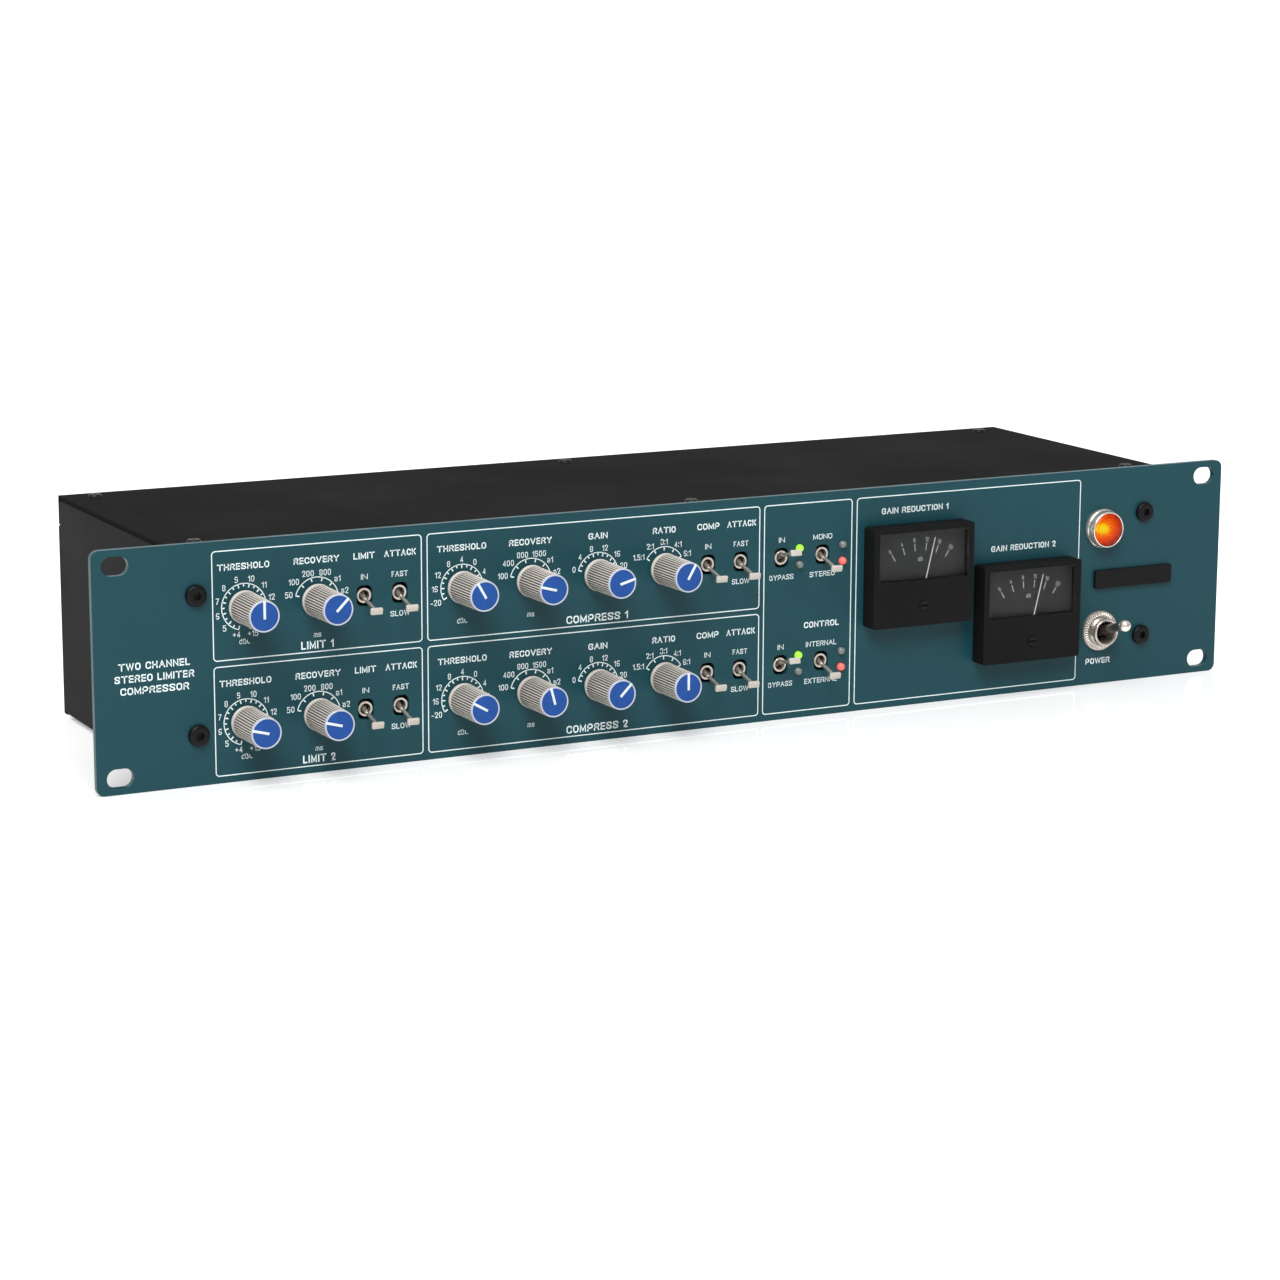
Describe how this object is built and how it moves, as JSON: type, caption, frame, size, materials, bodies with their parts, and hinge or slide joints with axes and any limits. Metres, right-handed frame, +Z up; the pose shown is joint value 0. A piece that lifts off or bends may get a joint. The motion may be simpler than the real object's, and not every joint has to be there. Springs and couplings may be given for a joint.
{
  "type": "rack compressor",
  "caption": "Two-unit rack audio compressor and limiter with blue-green panel, ribbed knobs, toggles, needle meters and lamp.",
  "frame": {"origin": "centre of the four rack slots, on the front panel's back face", "axes": "+X to the right seen from the front, +Y into the case, +Z up"},
  "size_m": [0.4826, 0.1523, 0.0882],
  "materials": {
    "panel_paint": "satin blue-green enamel",
    "case_paint": "fine-textured black powder coat",
    "cover_paint": "fine-textured black powder coat",
    "black_steel": "blackened steel",
    "plated_steel": "zinc plated",
    "bright_metal": "nickel plated",
    "chrome": "polished chrome",
    "lever_metal": "nickel plated with a pale plastic tip",
    "led_lens": "moulded epoxy lens",
    "amber_jewel": "faceted amber, lit",
    "badge_plastic": "gloss black",
    "meter_plastic": "moulded black",
    "clear_window": "clear",
    "dial_paint": "matt black with pale markings",
    "needle_paint": "pale paint",
    "circuit_board": "green solder mask",
    "brass": "plain",
    "transformer": "laminated core with a taped winding",
    "capacitor_sleeve": "shrunk sleeve",
    "toroid_wrap": "wound tape",
    "socket_metal": "black nickel plated",
    "black_plastic": "moulded black",
    "knob_grip": "warm grey, ribbed",
    "knob_cap": "blue",
    "knob_trim": "pale rim and pointer",
    "lever_tip": "pale moulded paddle",
    "panel_print": "white screen print",
    "led_green": "moulded epoxy lens, lit",
    "led_red": "moulded epoxy lens, lit"
  },
  "bodies": {
    "case": {"front_panel": "panel_paint", "chassis_tray": "case_paint", "rear_panel": "case_paint", "top_cover": "cover_paint", "panel_screws": "black_steel", "case_screws": "black_steel", "control_pots": "plated_steel", "toggle_switch_bodies": "bright_metal", "power_switch_body": "bright_metal", "power_switch_nut": "bright_metal", "indicator_leds": "led_lens", "lamp_bezel": "chrome", "lamp_jewel": "amber_jewel", "name_badge": "badge_plastic", "meter_cases": "meter_plastic", "meter_windows": "clear_window", "meter_dials": "dial_paint", "meter_movements": "plated_steel", "control_board": "circuit_board", "main_board": "circuit_board", "board_standoffs": "brass", "audio_transformers": "transformer", "filter_capacitors": "capacitor_sleeve", "mains_transformer": "toroid_wrap", "input_sockets": "socket_metal", "output_sockets": "socket_metal", "control_jacks": "black_plastic", "mains_inlet": "black_plastic"},
    "limit_1_threshold_control": {"limit_1_threshold_knob": "knob_grip"},
    "limit_1_recovery_control": {"limit_1_recovery_knob": "knob_grip"},
    "limit_2_threshold_control": {"limit_2_threshold_knob": "knob_grip"},
    "limit_2_recovery_control": {"limit_2_recovery_knob": "knob_grip"},
    "compress_1_threshold_control": {"compress_1_threshold_knob": "knob_grip"},
    "compress_1_recovery_control": {"compress_1_recovery_knob": "knob_grip"},
    "compress_1_gain_control": {"compress_1_gain_knob": "knob_grip"},
    "compress_1_ratio_control": {"compress_1_ratio_knob": "knob_grip"},
    "compress_2_threshold_control": {"compress_2_threshold_knob": "knob_grip"},
    "compress_2_recovery_control": {"compress_2_recovery_knob": "knob_grip"},
    "compress_2_gain_control": {"compress_2_gain_knob": "knob_grip"},
    "compress_2_ratio_control": {"compress_2_ratio_knob": "knob_grip"},
    "limit_1_in_toggle": {"limit_1_in_lever": "lever_metal"},
    "limit_1_attack_toggle": {"limit_1_attack_lever": "lever_metal"},
    "limit_2_in_toggle": {"limit_2_in_lever": "lever_metal"},
    "limit_2_attack_toggle": {"limit_2_attack_lever": "lever_metal"},
    "compress_1_in_toggle": {"compress_1_in_lever": "lever_metal"},
    "compress_1_attack_toggle": {"compress_1_attack_lever": "lever_metal"},
    "compress_2_in_toggle": {"compress_2_in_lever": "lever_metal"},
    "compress_2_attack_toggle": {"compress_2_attack_lever": "lever_metal"},
    "bypass_1_toggle": {"bypass_1_lever": "lever_metal"},
    "bypass_2_toggle": {"bypass_2_lever": "lever_metal"},
    "stereo_toggle": {"stereo_lever": "lever_metal"},
    "control_toggle": {"control_lever": "lever_metal"},
    "power_toggle": {"power_lever": "chrome"},
    "meter_1_pointer": {"meter_1_needle": "needle_paint"},
    "meter_1_zero": {"meter_1_zero_screw": "meter_plastic"},
    "meter_2_pointer": {"meter_2_needle": "needle_paint"},
    "meter_2_zero": {"meter_2_zero_screw": "meter_plastic"},
    "input_1_release": {"input_1_latch": "bright_metal"},
    "input_2_release": {"input_2_latch": "bright_metal"},
    "fuse_holder": {"fuse_drawer": "black_plastic"}
  },
  "joints": [
    {"name": "limit_1_threshold_turn", "type": "hinge", "parent": "case", "child": "limit_1_threshold_control", "pos_m": [-0.185, -0.0025, 0.01975], "axis": [0, 1, 0], "range_deg": [-165, 165]},
    {"name": "limit_1_recovery_turn", "type": "hinge", "parent": "case", "child": "limit_1_recovery_control", "pos_m": [-0.1571, -0.0025, 0.01975], "axis": [0, 1, 0], "range_deg": [-120, 30]},
    {"name": "limit_2_threshold_turn", "type": "hinge", "parent": "case", "child": "limit_2_threshold_control", "pos_m": [-0.185, -0.0025, -0.02235], "axis": [0, 1, 0], "range_deg": [-90, 240]},
    {"name": "limit_2_recovery_turn", "type": "hinge", "parent": "case", "child": "limit_2_recovery_control", "pos_m": [-0.1571, -0.0025, -0.02235], "axis": [0, 1, 0], "range_deg": [0, 150]},
    {"name": "compress_1_threshold_turn", "type": "hinge", "parent": "case", "child": "compress_1_threshold_control", "pos_m": [-0.1, -0.0025, 0.01975], "axis": [0, 1, 0], "range_deg": [-90, 135]},
    {"name": "compress_1_recovery_turn", "type": "hinge", "parent": "case", "child": "compress_1_recovery_control", "pos_m": [-0.0721, -0.0025, 0.01975], "axis": [0, 1, 0], "range_deg": [0, 150]},
    {"name": "compress_1_gain_turn", "type": "hinge", "parent": "case", "child": "compress_1_gain_control", "pos_m": [-0.0442, -0.0025, 0.01975], "axis": [0, 1, 0], "range_deg": [-150, 0]},
    {"name": "compress_1_ratio_turn", "type": "hinge", "parent": "case", "child": "compress_1_ratio_control", "pos_m": [-0.0163, -0.0025, 0.01975], "axis": [0, 1, 0], "range_deg": [-90, 30]},
    {"name": "compress_2_threshold_turn", "type": "hinge", "parent": "case", "child": "compress_2_threshold_control", "pos_m": [-0.1, -0.0025, -0.02235], "axis": [0, 1, 0], "range_deg": [-60, 165]},
    {"name": "compress_2_recovery_turn", "type": "hinge", "parent": "case", "child": "compress_2_recovery_control", "pos_m": [-0.0721, -0.0025, -0.02235], "axis": [0, 1, 0], "range_deg": [-60, 90]},
    {"name": "compress_2_gain_turn", "type": "hinge", "parent": "case", "child": "compress_2_gain_control", "pos_m": [-0.0442, -0.0025, -0.02235], "axis": [0, 1, 0], "range_deg": [-120, 30]},
    {"name": "compress_2_ratio_turn", "type": "hinge", "parent": "case", "child": "compress_2_ratio_control", "pos_m": [-0.0163, -0.0025, -0.02235], "axis": [0, 1, 0], "range_deg": [-60, 60]},
    {"name": "limit_1_in_flip", "type": "hinge", "parent": "case", "child": "limit_1_in_toggle", "pos_m": [-0.1386, 0.0015, 0.01975], "axis": [-1, 0, 0], "range_deg": [0, 28]},
    {"name": "limit_1_attack_flip", "type": "hinge", "parent": "case", "child": "limit_1_attack_toggle", "pos_m": [-0.1247, 0.0015, 0.01975], "axis": [-1, 0, 0], "range_deg": [0, 28]},
    {"name": "limit_2_in_flip", "type": "hinge", "parent": "case", "child": "limit_2_in_toggle", "pos_m": [-0.1386, 0.0015, -0.02235], "axis": [-1, 0, 0], "range_deg": [0, 28]},
    {"name": "limit_2_attack_flip", "type": "hinge", "parent": "case", "child": "limit_2_attack_toggle", "pos_m": [-0.1247, 0.0015, -0.02235], "axis": [-1, 0, 0], "range_deg": [0, 28]},
    {"name": "compress_1_in_flip", "type": "hinge", "parent": "case", "child": "compress_1_in_toggle", "pos_m": [0.0026, 0.0015, 0.01975], "axis": [-1, 0, 0], "range_deg": [0, 28]},
    {"name": "compress_1_attack_flip", "type": "hinge", "parent": "case", "child": "compress_1_attack_toggle", "pos_m": [0.0168, 0.0015, 0.01975], "axis": [-1, 0, 0], "range_deg": [0, 28]},
    {"name": "compress_2_in_flip", "type": "hinge", "parent": "case", "child": "compress_2_in_toggle", "pos_m": [0.0026, 0.0015, -0.02235], "axis": [-1, 0, 0], "range_deg": [0, 28]},
    {"name": "compress_2_attack_flip", "type": "hinge", "parent": "case", "child": "compress_2_attack_toggle", "pos_m": [0.0168, 0.0015, -0.02235], "axis": [-1, 0, 0], "range_deg": [0, 28]},
    {"name": "bypass_1_flip", "type": "hinge", "parent": "case", "child": "bypass_1_toggle", "pos_m": [0.0347, 0.0015, 0.01975], "axis": [-1, 0, 0], "range_deg": [-28, 0]},
    {"name": "bypass_2_flip", "type": "hinge", "parent": "case", "child": "bypass_2_toggle", "pos_m": [0.0347, 0.0015, -0.02235], "axis": [-1, 0, 0], "range_deg": [-28, 0]},
    {"name": "stereo_flip", "type": "hinge", "parent": "case", "child": "stereo_toggle", "pos_m": [0.0528, 0.0015, 0.01975], "axis": [-1, 0, 0], "range_deg": [0, 28]},
    {"name": "control_flip", "type": "hinge", "parent": "case", "child": "control_toggle", "pos_m": [0.0528, 0.0015, -0.02235], "axis": [-1, 0, 0], "range_deg": [0, 28]},
    {"name": "power_flip", "type": "hinge", "parent": "case", "child": "power_toggle", "pos_m": [0.1829, -0.003, -0.02195], "axis": [-1, 0, 0], "range_deg": [-32, 0]},
    {"name": "meter_1_swing", "type": "hinge", "parent": "case", "child": "meter_1_pointer", "pos_m": [0.0943, -0.0077, -0.0026], "axis": [0, 1, 0], "range_deg": [-49.7, 22.3], "stiffness_Nm_per_rad": 0.00002},
    {"name": "meter_1_zero_turn", "type": "hinge", "parent": "case", "child": "meter_1_zero", "pos_m": [0.0943, -0.0077, -0.0026], "axis": [0, 1, 0], "range_deg": [-30, 30]},
    {"name": "meter_2_swing", "type": "hinge", "parent": "case", "child": "meter_2_pointer", "pos_m": [0.14535, -0.0077, -0.0216], "axis": [0, 1, 0], "range_deg": [-49.7, 22.3], "stiffness_Nm_per_rad": 0.00002},
    {"name": "meter_2_zero_turn", "type": "hinge", "parent": "case", "child": "meter_2_zero", "pos_m": [0.14535, -0.0077, -0.0216], "axis": [0, 1, 0], "range_deg": [-30, 30]},
    {"name": "input_1_press", "type": "slide", "parent": "case", "child": "input_1_release", "axis": [0, -1, 0], "range_m": [0, 0.002], "stiffness_N_per_m": 400},
    {"name": "input_2_press", "type": "slide", "parent": "case", "child": "input_2_release", "axis": [0, -1, 0], "range_m": [0, 0.002], "stiffness_N_per_m": 400},
    {"name": "fuse_drawer_slide", "type": "slide", "parent": "case", "child": "fuse_holder", "axis": [0, 1, 0], "range_m": [0, 0.02]}
  ]
}
